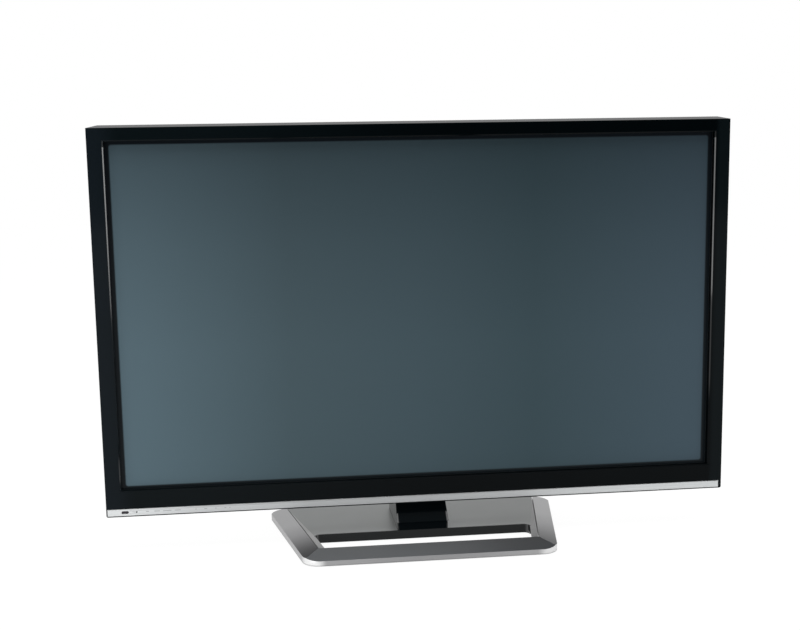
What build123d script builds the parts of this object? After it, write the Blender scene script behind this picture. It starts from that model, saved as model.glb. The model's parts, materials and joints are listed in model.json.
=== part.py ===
from build123d import *
import os
from math import atan, degrees

os.makedirs("parts", exist_ok=True)

# A flat-panel television on a swivel stand, in millimetres.
# The origin is on the table under the middle of the stand.
# +X is to the right of someone who looks at the screen, +Y is away from them.

# Screen and bezel seen from the front
active_width = 1096.0
active_height = 616.5
dark_border = 7.6
side_bezel = 28.5
top_bezel = 23.3
bottom_bezel = 33.2
strip_height = 14.9
corner_radius = 3.0

# Depths of the bezel and the whole head
head_depth = 52.5
bezel_depth = 20.0
screen_recess = 13.0
face_thickness = 2.5
bezel_wall = 2.5
lip_wall = 2.0
lip_chamfer = 1.8
gasket_thickness = 1.0
top_rise = 5.0
top_run = 18.0
rib_thickness = 1.5
rib_pitch = 150.0
boss_radius = 3.2
boss_bore = 1.3
boss_inset = 8.0
screw_sides = 6
boss_pitch = 300.0

# Trim strip and what shows in it
strip_thickness = 3.0
strip_sill = 1.2
strip_left_gap = 1.5
strip_right_gap = 5.0
strip_chamfer = 0.6
trim_clearance = 0.15
sensor_width = 13.0
sensor_height = 5.0
sensor_from_left = 33.9
light_lens_radius = 1.3
light_lens_from_left = 55.0
key_board_start = 20.0
key_board_end = 192.0
key_board_height = 9.0

# Panel stack
filter_thickness = 2.5
filter_overlap = 9.0
panel_glass = 2.8
electrode_ledge = 4.0
panel_margin = 6.0
heat_sheet = 1.2
chassis_plate = 1.5
chassis_margin = 12.0
chassis_flange = 5.0
clip_length = 40.0
clip_sheet = 1.2
clip_reach = 4.0
clip_foot = 5.0
edge_clearance = 0.5

# Boards and their fittings
circuit_board = 1.6
standoff = 7.0
standoff_radius = 3.0
standoff_inset = 6.0
board_gap = 5.0
power_board_height = 200.0
main_board_width = 195.0
main_board_height = 190.0
logic_board_height = 110.0
ribbon_gap = 45.0
sustain_height = 340.0
z_sustain_width = 190.0
buffer_width = 38.0
buffer_height = 245.0
address_height = 32.0
address_standoff = 3.0
address_board = 1.2
ribbon_thickness = 0.3
ribbon_width = 42.0
ribbon_pitch = 110.0
sink_width = 116.0
sink_height = 60.0
heat_sink_depth = 15.0
fin_thickness = 1.5
fin_pitch = 16.0
capacitor_radius = 7.5
capacitor_length = 28.0
capacitor_pitch = 22.0
capacitor_sides = 10
chip_side = 14.0
chip_height = 2.5
buffer_chips = 4
power_transformers = 3
power_capacitors = 4
y_sustain_capacitors = 4
z_sustain_capacitors = 3
transformer_side = 42.0
transformer_height = 15.0

# Steel carriers inside the head
wall_mount_spacing = 400.0
rail_width = 24.0
rail_depth = 20.0
rail_sheet = 1.5
rail_foot = 8.0
mount_boss_radius = 9.0
mount_boss_sides = 12
mount_bore_radius = 4.0
bracket_sheet = 2.0
bracket_bottom = 30.0
bracket_height = 80.0
bracket_flange = 10.0

# Back cover
cover_sheet = 1.2
flange_inset = 1.0
pan_inset = 14.0
pan_slope = 12.0
vent_length = 76.0
vent_width = 3.0
vent_pitch_across = 92.0
vent_pitch_up = 9.0
vent_rows = 3
vent_from_edge = 66.0
cover_screw_head = 3.0
cover_screw_shank = 1.1
screw_head_height = 1.6

# Jack tray, sockets and inlet
tray_width = 180.0
tray_height = 50.0
tray_depth = 12.0
tray_wall = 1.5
tray_flange = 5.0
tray_above_board_edge = 10.0
digital_width = 15.6
digital_height = 6.2
digital_wall = 0.7
digital_depth = 10.0
socket_proud = 3.0
socket_clearance = 0.4
round_socket_radius = 4.2
round_socket_bore = 1.6
socket_sides = 10
round_socket_count = 6
digital_socket_count = 3
socket_pitch = 25.0
socket_inset = 15.0
inlet_width = 27.0
inlet_height = 20.0
inlet_wall = 1.8
inlet_depth = 17.0
inlet_pin_length = 9.0
inlet_x = 118.0
inlet_above_bracket = 45.0

# Speakers
speaker_width = 180.0
speaker_height = 13.0
speaker_depth = 18.0
speaker_from_side = 174.1
speaker_cone = 5.5
sound_slots = 9
sound_slot_width = 3.0
sound_slot_pitch = 9.0

# Stand base
base_depth = 298.5
base_front_half = 227.0
base_rear_half = 285.0
front_corner_radius = 32.0
rear_corner_radius = 13.0
foot_height = 2.0
foot_radius = 8.0
foot_sides = 12
front_rim_top = 11.5
side_rim_top = 13.5
inner_edge_top = 21.0
front_bar_depth = 43.0
side_bar_width = 32.0
groove = 1.5
bevel_width = 12.0
bevel_drop = 2.5
frame_wall = 3.5
frame_pocket_top = 7.0
slot_setback = 127.25
slot_corner = 11.0
deck_thickness = 2.5
body_wall = 2.5
body_floor = 2.5
weight_plate = 4.5
weight_gap = 6.0
tab_width = 18.0
tab_pitch = 60.0
front_pockets = 4
base_screw_radius = 1.5
base_screw_head = 3.2
base_screw_bite = 4.0
tab_sheet = 2.0

# Neck and swivel
screen_setback = 131.5
head_clearance = 70.0
neck_width = 96.0
neck_depth = 140.0
neck_wall = 2.5
collar_boss_radius = 3.8
seam_height = 33.0
seam_gap = 0.4
shroud_overhang = 1.2
shroud_top_width = 95.0
shroud_behind_face = 29.25
shroud_top_depth = 50.5
shroud_wall = 2.0
seat_plate = 3.0
seat_side = 86.0
seat_screw_inset = 6.0
seat_screw_radius = 2.0
hub_radius = 10.0
hub_bore = 7.0
swivel_clearance = 0.05
washer_thickness = 1.5
washer_radius = 30.0
washer_sides = 24
swivel_plate = 4.0
swivel_plate_radius = 42.0
ring_radius = 14.0
ring_height = 6.0
ring_sides = 6
stop_radius = 3.0
stop_circle = 36.0
swivel_limit = 20.0
stop_bearing = 90.0
stop_clearance = 0.3
riser_width = 70.0
riser_depth = 15.0
riser_wall = 3.0
riser_fit = 0.4
riser_top = 95.0
gusset_sheet = 4.0
gusset_height = 30.0
neck_screw_radius = 3.0
neck_screw_head = 5.1
neck_screw_spacing = 44.0
neck_screw_rise = 30.0

# Places that follow from the sizes above
head_width = active_width + 2 * (dark_border + side_bezel)
head_height = strip_height + bottom_bezel + active_height + 2 * dark_border + top_bezel
window_width = active_width + 2 * dark_border
window_height = active_height + 2 * dark_border
head_bottom = head_clearance
head_top = head_bottom + head_height
head_middle = (head_bottom + head_top) / 2
strip_top = head_bottom + strip_height
window_middle = strip_top + bottom_bezel + window_height / 2
left_edge = -head_width / 2
right_edge = head_width / 2
base_front = -base_depth / 2
base_back = base_depth / 2
head_front = base_front + screen_setback
head_back = head_front + head_depth
bezel_back = head_front + bezel_depth
glass_front = head_front + screen_recess
lip_back = glass_front - gasket_thickness
glass_back = glass_front + filter_thickness
panel_seam = glass_back + panel_glass
panel_back = panel_seam + panel_glass
chassis_front = panel_back + heat_sheet
chassis_back = chassis_front + chassis_plate
board_front = chassis_back + standoff
board_back = board_front + circuit_board
cover_inside = head_back - cover_sheet
chassis_width = active_width + 2 * chassis_margin
chassis_height = active_height + 2 * chassis_margin
chassis_bottom = window_middle - chassis_height / 2
chassis_top = window_middle + chassis_height / 2
filter_width = window_width + 2 * filter_overlap
filter_height = window_height + 2 * filter_overlap


def upright(y):
    """Sketch plane that faces the viewer at depth y; an extrusion comes forward from it."""
    return Plane(origin=(0, y, 0), x_dir=(1, 0, 0), z_dir=(0, -1, 0))


def block(x, y, z, mode=Mode.ADD):
    """A box between two x, two y and two z values."""
    with Locations(((x[0] + x[1]) / 2, (y[0] + y[1]) / 2, (z[0] + z[1]) / 2)):
        Box(x[1] - x[0], y[1] - y[0], z[1] - z[0], mode=mode)


def sheet_at(centre_z, width, height, radius=0.0, mode=Mode.ADD):
    """A rectangle on an upright sketch, centred across the head."""
    with Locations((0, centre_z)):
        if radius > 0:
            RectangleRounded(width, height, radius, mode=mode)
        else:
            Rectangle(width, height, mode=mode)


def spread(first, last, pitch):
    """Even places from first to last, about one pitch apart."""
    count = max(1, round((last - first) / pitch))
    return [first + (last - first) * n / count for n in range(count + 1)]


def save(piece, name):
    """Label a finished piece and write its file."""
    piece.part.label = name
    export_step(piece.part, f"parts/{name}.step")


# Front bezel: one moulding with outer wall, stepped lip, ribs and screw bosses
boss_x = head_width / 2 - boss_inset
boss_z_low = head_bottom + boss_inset
boss_z_high = head_top - boss_inset
boss_columns = spread(-boss_x, boss_x, boss_pitch)
boss_rows = spread(boss_z_low, boss_z_high, boss_pitch)[1:-1]
boss_places = [(x, z) for x in boss_columns for z in (boss_z_low, boss_z_high)]
boss_places += [(x, z) for x in (-boss_x, boss_x) for z in boss_rows]

with BuildPart() as front_bezel:
    with BuildSketch(upright(head_front + face_thickness)):
        sheet_at(head_middle, head_width, head_height, corner_radius)
        sheet_at(window_middle, window_width, window_height, mode=Mode.SUBTRACT)
    extrude(amount=face_thickness)
    with BuildSketch(upright(bezel_back)):
        sheet_at(head_middle, head_width, head_height, corner_radius)
        sheet_at(head_middle, head_width - 2 * bezel_wall, head_height - 2 * bezel_wall, mode=Mode.SUBTRACT)
    extrude(amount=bezel_depth)
    with BuildSketch(upright(lip_back)):
        sheet_at(window_middle, window_width + 2 * lip_wall, window_height + 2 * lip_wall)
        sheet_at(window_middle, window_width, window_height, mode=Mode.SUBTRACT)
    extrude(amount=lip_back - head_front)
    # the lip's front corner is cut back so that it catches the light
    with BuildSketch(upright(head_front)):
        sheet_at(window_middle, window_width + 2 * lip_chamfer, window_height + 2 * lip_chamfer)
    with BuildSketch(upright(head_front + lip_chamfer)):
        sheet_at(window_middle, window_width, window_height)
    loft(mode=Mode.SUBTRACT)
    # top edge rises towards the back and is mitred at both ends
    with BuildSketch(Plane.XY.offset(head_top - bezel_wall)):
        with BuildLine():
            Polyline(
                (left_edge, head_front),
                (right_edge, head_front),
                (right_edge - top_run, head_front + top_run),
                (right_edge - top_run, bezel_back),
                (left_edge + top_run, bezel_back),
                (left_edge + top_run, head_front + top_run),
                close=True,
            )
        make_face()
    extrude(amount=bezel_wall + top_rise)
    with BuildSketch(Plane.YZ):
        with BuildLine():
            Polyline(
                (head_front, head_top),
                (head_front + top_run, head_top + top_rise),
                (head_front, head_top + top_rise),
                close=True,
            )
        make_face()
    extrude(amount=head_width / 2, both=True, mode=Mode.SUBTRACT)
    # solid rail behind the trim strip
    rail_back = head_front + strip_thickness + face_thickness
    rail_ends = (left_edge + corner_radius, right_edge - corner_radius)
    block(rail_ends, (head_front, rail_back), (head_bottom, strip_top))
    # ribs between the outer wall and the lip
    rib_outer_x = head_width / 2 - bezel_wall
    rib_inner_x = window_width / 2 + lip_wall
    rib_top = head_top - bezel_wall
    rib_window_top = window_middle + window_height / 2 + lip_wall
    rib_window_bottom = window_middle - window_height / 2 - lip_wall
    rib_face = head_front + face_thickness
    upright_ribs = spread(-rib_inner_x + rib_pitch / 2, rib_inner_x - rib_pitch / 2, rib_pitch)
    level_ribs = spread(rib_window_bottom + rib_pitch / 2, rib_window_top - rib_pitch / 2, rib_pitch)
    with BuildSketch(upright(lip_back)):
        with Locations(*[(x, (rib_window_top + rib_top) / 2) for x in upright_ribs]):
            Rectangle(rib_thickness, rib_top - rib_window_top)
        with Locations(*[(x, (strip_top + rib_window_bottom) / 2) for x in upright_ribs]):
            Rectangle(rib_thickness, rib_window_bottom - strip_top)
        for side in (-1, 1):
            with Locations(*[(side * (rib_inner_x + rib_outer_x) / 2, z) for z in level_ribs]):
                Rectangle(rib_outer_x - rib_inner_x, rib_thickness)
    extrude(amount=lip_back - rib_face)
    # bosses that take the back cover's screws
    with BuildSketch(upright(bezel_back)):
        with Locations(*boss_places):
            RegularPolygon(boss_radius, screw_sides)
    extrude(amount=bezel_depth - face_thickness / 2)
    with BuildSketch(upright(bezel_back)):
        with Locations(*boss_places):
            RegularPolygon(boss_bore, screw_sides)
    extrude(amount=bezel_depth - 2 * face_thickness, mode=Mode.SUBTRACT)
    # recess for the trim strip
    block(
        (left_edge + strip_left_gap, right_edge - strip_right_gap),
        (head_front, head_front + strip_thickness),
        (head_bottom + strip_sill, strip_top),
        mode=Mode.SUBTRACT,
    )
save(front_bezel, "front_bezel")

# Trim strip along the bottom edge
strip_left = left_edge + strip_left_gap + trim_clearance
strip_right = right_edge - strip_right_gap - trim_clearance
strip_bottom = head_bottom + strip_sill + trim_clearance
strip_face_top = strip_top - trim_clearance
strip_middle = (strip_bottom + strip_face_top) / 2
sensor_x = left_edge + sensor_from_left
light_lens_x = left_edge + light_lens_from_left

with BuildPart() as trim_strip:
    block(
        (strip_left, strip_right),
        (head_front, head_front + strip_thickness),
        (strip_bottom, strip_face_top),
    )
    chamfer(trim_strip.faces().sort_by(Axis.Y)[0].edges(), strip_chamfer)
    with BuildSketch(upright(head_front + strip_thickness)):
        with Locations((sensor_x, strip_middle)):
            SlotOverall(sensor_width, sensor_height)
        with Locations((light_lens_x, strip_middle)):
            Circle(light_lens_radius)
    extrude(amount=strip_thickness, mode=Mode.SUBTRACT)
save(trim_strip, "trim_strip")

with BuildPart() as sensor_window:
    with BuildSketch(upright(head_front + strip_thickness)):
        with Locations((sensor_x, strip_middle)):
            SlotOverall(sensor_width - 2 * trim_clearance, sensor_height - 2 * trim_clearance)
    extrude(amount=strip_thickness)
save(sensor_window, "sensor_window")

with BuildPart() as light_sensor_lens:
    with BuildSketch(upright(head_front + strip_thickness)):
        with Locations((light_lens_x, strip_middle)):
            Circle(light_lens_radius - trim_clearance)
    extrude(amount=strip_thickness)
save(light_sensor_lens, "light_sensor_lens")

# Touch-key board on the back of the rail, with its sensor
key_board_middle = left_edge + (key_board_start + key_board_end) / 2
with BuildPart() as touch_key_board:
    with BuildSketch(upright(rail_back + circuit_board)):
        with Locations((key_board_middle, strip_middle)):
            Rectangle(key_board_end - key_board_start, key_board_height)
    extrude(amount=circuit_board)
    with BuildSketch(upright(rail_back + circuit_board + 2 * lip_wall)):
        with Locations((sensor_x, strip_middle)):
            Rectangle(sensor_height, sensor_height)
    extrude(amount=2 * lip_wall)
save(touch_key_board, "touch_key_board")

# Panel stack, front to back
with BuildPart() as glass_gasket:
    with BuildSketch(upright(glass_front)):
        sheet_at(window_middle, window_width + 2 * lip_wall, window_height + 2 * lip_wall)
        sheet_at(window_middle, window_width, window_height, mode=Mode.SUBTRACT)
    extrude(amount=gasket_thickness)
save(glass_gasket, "glass_gasket")

with BuildPart() as filter_glass:
    with BuildSketch(upright(glass_back)):
        sheet_at(window_middle, filter_width, filter_height)
    extrude(amount=filter_thickness)
save(filter_glass, "filter_glass")

front_glass_width = active_width + 2 * (panel_margin + electrode_ledge)
rear_glass_height = active_height + 2 * (panel_margin + electrode_ledge)
with BuildPart() as panel_front_glass:
    with BuildSketch(upright(panel_seam)):
        sheet_at(window_middle, front_glass_width, active_height + 2 * panel_margin)
    extrude(amount=panel_glass)
save(panel_front_glass, "panel_front_glass")

with BuildPart() as panel_rear_glass:
    with BuildSketch(upright(panel_back)):
        sheet_at(window_middle, active_width + 2 * panel_margin, rear_glass_height)
    extrude(amount=panel_glass)
save(panel_rear_glass, "panel_rear_glass")

with BuildPart() as heat_spreading_sheet:
    with BuildSketch(upright(chassis_front)):
        sheet_at(window_middle, active_width, active_height)
    extrude(amount=heat_sheet)
save(heat_spreading_sheet, "heat_spreading_sheet")

with BuildPart() as panel_chassis:
    with BuildSketch(upright(chassis_back)):
        sheet_at(window_middle, chassis_width, chassis_height)
    extrude(amount=chassis_plate)
    # folded edges at the top and both sides; the bottom stays open for the ribbons
    for side in (-1, 1):
        edge = sorted((side * chassis_width / 2, side * (chassis_width / 2 - chassis_plate)))
        block(edge, (chassis_front, chassis_front + chassis_flange), (chassis_bottom, chassis_top))
    block(
        (-chassis_width / 2, chassis_width / 2),
        (chassis_front, chassis_front + chassis_flange),
        (chassis_top - chassis_plate, chassis_top),
    )
save(panel_chassis, "panel_chassis")

# Clips that hold the filter glass against the gasket
filter_half_width = filter_width / 2
filter_top = window_middle + filter_height / 2
filter_bottom = window_middle - filter_height / 2
clip_outline = [
    (-clip_reach, glass_back),
    (edge_clearance, glass_back),
    (edge_clearance, lip_back),
    (edge_clearance + clip_foot, lip_back),
    (edge_clearance + clip_foot, lip_back + clip_sheet),
    (edge_clearance + clip_sheet, lip_back + clip_sheet),
    (edge_clearance + clip_sheet, glass_back + clip_sheet),
    (-clip_reach, glass_back + clip_sheet),
]
with BuildPart() as filter_clips:
    for z in level_ribs[::2]:
        with BuildSketch(Plane.XY.offset(z - clip_length / 2)):
            Polygon(*[(filter_half_width + out, y) for out, y in clip_outline], align=None)
            mirror(about=Plane.YZ)
        extrude(amount=clip_length)
    for x in upright_ribs[::2]:
        with BuildSketch(Plane.YZ.offset(x - clip_length / 2)):
            Polygon(*[(y, filter_top + out) for out, y in clip_outline], align=None)
            Polygon(*[(y, filter_bottom - out) for out, y in clip_outline], align=None)
        extrude(amount=clip_length)
save(filter_clips, "filter_clips")

# Vertical support rails, hat sections that stand on the chassis
rail_back_face = chassis_back + rail_depth
rail_bottom = chassis_bottom + rail_foot
rail_top = chassis_top - rail_foot
rail_x = wall_mount_spacing / 2
rail_foot_middle = (rail_width + rail_foot - rail_sheet) / 2
mount_heights = [head_middle - wall_mount_spacing / 2, head_middle + wall_mount_spacing / 2]
with BuildPart() as support_rails:
    for x in (-rail_x, rail_x):
        with BuildSketch(Plane.XY.offset(rail_bottom)):
            with Locations((x, chassis_back + rail_depth / 2)):
                Rectangle(rail_width, rail_depth)
            with Locations((x, chassis_back + (rail_depth - rail_sheet) / 2)):
                Rectangle(rail_width - 2 * rail_sheet, rail_depth - rail_sheet, mode=Mode.SUBTRACT)
            with Locations((x, chassis_back + rail_sheet / 2)):
                with Locations((-rail_foot_middle, 0), (rail_foot_middle, 0)):
                    Rectangle(rail_foot + rail_sheet, rail_sheet)
        extrude(amount=rail_top - rail_bottom)
        with BuildSketch(upright(rail_back_face)):
            with Locations(*[(x, z) for z in mount_heights]):
                RegularPolygon(mount_bore_radius + 2 * edge_clearance, mount_boss_sides)
        extrude(amount=rail_sheet, mode=Mode.SUBTRACT)
save(support_rails, "support_rails")

mount_places = [(x, z) for x in (-rail_x, rail_x) for z in mount_heights]
with BuildPart() as wall_mount_bosses:
    with BuildSketch(upright(head_back)):
        with Locations(*mount_places):
            RegularPolygon(mount_boss_radius, mount_boss_sides)
            Circle(mount_bore_radius, mode=Mode.SUBTRACT)
    extrude(amount=head_back - rail_back_face)
save(wall_mount_bosses, "wall_mount_bosses")

# Stand bracket between the rails, which takes the neck post
riser_front = chassis_back + standoff + bracket_sheet
bracket_low = head_bottom + bracket_bottom
bracket_high = bracket_low + bracket_height
bracket_half = rail_x - rail_width / 2
bracket_front = riser_front - bracket_sheet
neck_screw_low = bracket_low + (bracket_height - neck_screw_rise) / 2
neck_screw_levels = (neck_screw_low, neck_screw_low + neck_screw_rise)
neck_screw_places = [(side * neck_screw_spacing / 2, z) for side in (-1, 1) for z in neck_screw_levels]
with BuildPart() as stand_bracket:
    block((-bracket_half, bracket_half), (bracket_front, riser_front), (bracket_low, bracket_high))
    fold = (bracket_front, bracket_front + bracket_flange)
    block((-bracket_half, bracket_half), fold, (bracket_high - bracket_sheet, bracket_high))
    for side in (-1, 1):
        ear = sorted((side * bracket_half, side * (bracket_half - bracket_sheet)))
        block(ear, fold, (bracket_low, bracket_high))
    with BuildSketch(upright(riser_front)):
        with Locations(*neck_screw_places):
            RegularPolygon(neck_screw_radius + swivel_clearance, screw_sides)
    extrude(amount=bracket_sheet, mode=Mode.SUBTRACT)
save(stand_bracket, "stand_bracket")

# Where each board lies on the chassis: left, bottom, width and height
bay_half = rail_x - rail_width / 2 - rail_foot - board_gap
outer_bay = rail_x + rail_width / 2 + rail_foot + board_gap
board_edge = chassis_width / 2 - chassis_margin
main_bottom = bracket_high + board_gap + standoff_inset
main_top = main_bottom + main_board_height
power_bottom = main_top + board_gap + standoff_inset
sustain_bottom = window_middle - sustain_height / 2
sustain_width = board_edge - buffer_width - ribbon_gap - outer_bay
logic_left = -bay_half + main_board_width + board_gap
logic_bottom = main_top - logic_board_height
address_bottom = chassis_bottom + board_gap
address_top = address_bottom + address_height


def component(x, z, width, height, depth):
    """A boxed component on the back of a board."""
    block((x - width / 2, x + width / 2), (board_back, board_back + depth), (z - height / 2, z + height / 2))


def capacitor(x, z):
    """A capacitor that lies along the board."""
    with BuildSketch(Plane.XY.offset(z - capacitor_length / 2), mode=Mode.PRIVATE) as can:
        with Locations((x, board_back + capacitor_radius)):
            RegularPolygon(capacitor_radius, capacitor_sides, rotation=180 / capacitor_sides)
    extrude(can.sketch, amount=capacitor_length)
    component(x, z, capacitor_radius, capacitor_length, capacitor_radius)


def bare_board(left, bottom, width, height):
    """The laminate of a board."""
    with Locations((left + width / 2, board_front + circuit_board / 2, bottom + height / 2)):
        Box(width, circuit_board, height)


def corner_places(left, bottom, width, height):
    """Where a board's corners are held."""
    across = (left + standoff_inset, left + width - standoff_inset)
    up = (bottom + standoff_inset, bottom + height - standoff_inset)
    return [(x, z) for x in across for z in up]


power_place = (-bay_half, power_bottom, 2 * bay_half, power_board_height)
main_place = (-bay_half, main_bottom, main_board_width, main_board_height)
logic_place = (logic_left, logic_bottom, bay_half - logic_left, logic_board_height)
y_sustain_place = (-outer_bay - sustain_width, sustain_bottom, sustain_width, sustain_height)
z_sustain_place = (outer_bay, sustain_bottom, z_sustain_width, sustain_height)
buffer_low_place = (-board_edge, window_middle - buffer_height - board_gap, buffer_width, buffer_height)
buffer_high_place = (-board_edge, window_middle + board_gap, buffer_width, buffer_height)
buffer_places = [buffer_low_place, buffer_high_place]
all_places = [power_place, main_place, logic_place, y_sustain_place, z_sustain_place, *buffer_places]

with BuildPart() as board_standoffs:
    with BuildSketch(upright(board_front)):
        for place in all_places:
            with Locations(*corner_places(*place)):
                RegularPolygon(standoff_radius, 6)
    extrude(amount=standoff)
save(board_standoffs, "board_standoffs")

component_row = board_gap + transformer_side
with BuildPart() as power_supply_board:
    bare_board(*power_place)
    for n in range(power_transformers):
        x = -bay_half + 2 * standoff_inset + (n + 0.5) * component_row
        component(x, power_bottom + component_row, transformer_side, transformer_side, transformer_height)
    for n in range(power_capacitors):
        capacitor(bay_half - 2 * standoff_inset - (n + 0.5) * capacitor_pitch, power_bottom + component_row)
save(power_supply_board, "power_supply_board")

with BuildPart() as main_board:
    bare_board(*main_place)
    chip_z = main_top - component_row
    component(-bay_half + main_board_width / 2, chip_z, transformer_side, transformer_side, standoff)
    component(-bay_half + component_row / 2, chip_z, chip_side, transformer_side, chip_height)
save(main_board, "main_board")

with BuildPart() as logic_board:
    bare_board(*logic_place)
    logic_middle = (logic_left + bay_half) / 2
    logic_centre = logic_bottom + logic_board_height / 2
    component(logic_middle, logic_centre, transformer_side, transformer_side, chip_height)
save(logic_board, "logic_board")

with BuildPart() as y_sustain_board:
    bare_board(*y_sustain_place)
    for n in range(y_sustain_capacitors):
        x = -outer_bay - 2 * standoff_inset - (n + 0.5) * capacitor_pitch
        capacitor(x, sustain_bottom + component_row)
save(y_sustain_board, "y_sustain_board")

with BuildPart() as z_sustain_board:
    bare_board(*z_sustain_place)
    for n in range(z_sustain_capacitors):
        x = outer_bay + 2 * standoff_inset + (n + 0.5) * capacitor_pitch
        capacitor(x, sustain_bottom + component_row)
save(z_sustain_board, "z_sustain_board")

with BuildPart() as y_buffer_boards:
    for place in buffer_places:
        bare_board(*place)
        for n in range(buffer_chips):
            chip_z = place[1] + (n + 0.5) * buffer_height / buffer_chips
            component(-board_edge + buffer_width / 2, chip_z, chip_side, chip_side, chip_height)
save(y_buffer_boards, "y_buffer_boards")

# Finned heat sinks on the power and sustain boards
sink_places = [
    (0, power_bottom + power_board_height - sink_height),
    (-outer_bay - sustain_width / 2, window_middle + sink_height / 2),
    (outer_bay + z_sustain_width / 2, window_middle + sink_height / 2),
]
fin_places = spread((fin_thickness - sink_width) / 2, (sink_width - fin_thickness) / 2, fin_pitch)
with BuildPart() as heat_sinks:
    for x, z in sink_places:
        up = (z - sink_height / 2, z + sink_height / 2)
        block((x - sink_width / 2, x + sink_width / 2), (board_back, board_back + 2 * fin_thickness), up)
        with Locations(*[(x + fin, board_back + heat_sink_depth / 2, z) for fin in fin_places]):
            Box(fin_thickness, heat_sink_depth, sink_height)
save(heat_sinks, "heat_sinks")

# Address boards along the bottom, on low pads, and the panel's ribbons
address_front = chassis_back + address_standoff
address_bays = [(-board_edge, -outer_bay), (-bay_half, bay_half), (outer_bay, board_edge)]
with BuildPart() as address_boards:
    for left, right in address_bays:
        block((left, right), (address_front, address_front + address_board), (address_bottom, address_top))
        for x in (left + standoff_inset, right - standoff_inset):
            pad = (x - standoff_radius, x + standoff_radius)
            block(pad, (chassis_back, address_front), (address_top - 2 * standoff_radius, address_top))
save(address_boards, "address_boards")

ribbon_low = chassis_bottom - 2 * edge_clearance - ribbon_thickness
ledge_bottom = window_middle - rear_glass_height / 2
ribbon_places = []
for left, right in address_bays:
    ribbon_places += spread(left + ribbon_width, right - ribbon_width, ribbon_pitch)
with BuildPart() as panel_ribbons:
    for x in ribbon_places:
        across = (x - ribbon_width / 2, x + ribbon_width / 2)
        near = panel_seam - ribbon_thickness
        block(across, (near, panel_seam), (ribbon_low, ledge_bottom + electrode_ledge / 2))
        block(across, (near, address_front), (ribbon_low, ribbon_low + ribbon_thickness))
        far = address_front - ribbon_thickness
        block(across, (far, address_front), (ribbon_low, address_bottom + electrode_ledge))
save(panel_ribbons, "panel_ribbons")

# Slim speakers that stand on the bezel's lower ribs and fire downwards
speaker_top = filter_bottom - clip_foot - 2 * edge_clearance
speaker_bottom = speaker_top - speaker_height
speaker_x = head_width / 2 - speaker_from_side


def speaker(side):
    """One speaker box with its driver in the underside."""
    with BuildPart() as box:
        middle = side * speaker_x
        block(
            (middle - speaker_width / 2, middle + speaker_width / 2),
            (lip_back, lip_back + speaker_depth),
            (speaker_bottom, speaker_top),
        )
        with BuildSketch(Plane.XY.offset(speaker_bottom)):
            with Locations((middle, lip_back + speaker_depth / 2)):
                Rectangle(speaker_width / 3, 2 * speaker_cone)
        extrude(amount=speaker_height / 3, mode=Mode.SUBTRACT)
    return box


save(speaker(-1), "left_speaker")
save(speaker(1), "right_speaker")

# Back cover: a pressed steel pan with a screw flange, vents and cut-outs
tray_left = -bay_half + board_gap
tray_low = main_bottom + tray_above_board_edge
tray_floor_back = head_back - tray_depth
inlet_z = bracket_high + inlet_above_bracket
pan_width = head_width - 2 * pan_inset
pan_height = head_height - 2 * pan_inset
pan_depth = head_back - bezel_back
pan_taper = degrees(atan(pan_slope / pan_depth))
flange_back = bezel_back + cover_sheet
vent_half = head_width / 2 - 3 * pan_inset - vent_pitch_across
with BuildPart() as back_cover:
    for inner in (0, cover_sheet):
        with BuildSketch(upright(bezel_back)):
            sheet_at(head_middle, pan_width - 2 * inner, pan_height - 2 * inner)
        extrude(amount=inner - pan_depth, taper=pan_taper, mode=Mode.SUBTRACT if inner else Mode.ADD)
    with BuildSketch(upright(flange_back)):
        sheet_at(head_middle, head_width - 2 * flange_inset, head_height - 2 * flange_inset, corner_radius)
        sheet_at(head_middle, pan_width - 2 * cover_sheet, pan_height - 2 * cover_sheet, mode=Mode.SUBTRACT)
    extrude(amount=cover_sheet)
    # rows of vents near the top
    with BuildSketch(upright(head_back)):
        # lower rows stop short of the tray and the neck
        low_vents = spread(outer_bay + vent_length, vent_half, vent_pitch_across)
        for row in range(vent_rows):
            high = head_top - vent_from_edge - row * vent_pitch_up
            low = head_bottom + vent_from_edge + row * vent_pitch_up
            with Locations(*[(x, high) for x in spread(-vent_half, vent_half, vent_pitch_across)]):
                Rectangle(vent_length, vent_width)
            with Locations(*[(side * x, low) for side in (-1, 1) for x in low_vents]):
                Rectangle(vent_length, vent_width)
        with Locations(*mount_places):
            RegularPolygon(mount_boss_radius + edge_clearance, mount_boss_sides)
        with Locations(*neck_screw_places):
            RegularPolygon(2 * neck_screw_radius + edge_clearance, mount_boss_sides)
        with Locations((tray_left + tray_width / 2, tray_low + tray_height / 2)):
            Rectangle(tray_width, tray_height)
        with Locations((inlet_x, inlet_z)):
            Rectangle(inlet_width + 2 * trim_clearance, inlet_height + 2 * trim_clearance)
    extrude(amount=cover_sheet + edge_clearance, mode=Mode.SUBTRACT)
    with BuildSketch(upright(flange_back)):
        with Locations(*boss_places):
            RegularPolygon(cover_screw_shank + trim_clearance, screw_sides)
    extrude(amount=cover_sheet, mode=Mode.SUBTRACT)
    # the neck post and the speakers pass sound and steel through the bottom wall
    wall_reach = (head_bottom + pan_inset - cover_sheet, head_bottom + pan_inset + pan_slope + cover_sheet)
    block(
        (-riser_width / 2 - riser_fit, riser_width / 2 + riser_fit),
        (riser_front - riser_fit, cover_inside),
        wall_reach,
        mode=Mode.SUBTRACT,
    )
    sound_depth = lip_back + speaker_depth - flange_back - sound_slot_width
    sound_middle = flange_back + sound_slot_width + sound_depth / 2
    for side in (-1, 1):
        with Locations((side * speaker_x, sound_middle, sum(wall_reach) / 2)):
            with GridLocations(sound_slot_pitch, 0, sound_slots, 1):
                Box(sound_slot_width, sound_depth, wall_reach[1] - wall_reach[0], mode=Mode.SUBTRACT)
save(back_cover, "back_cover")

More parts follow.
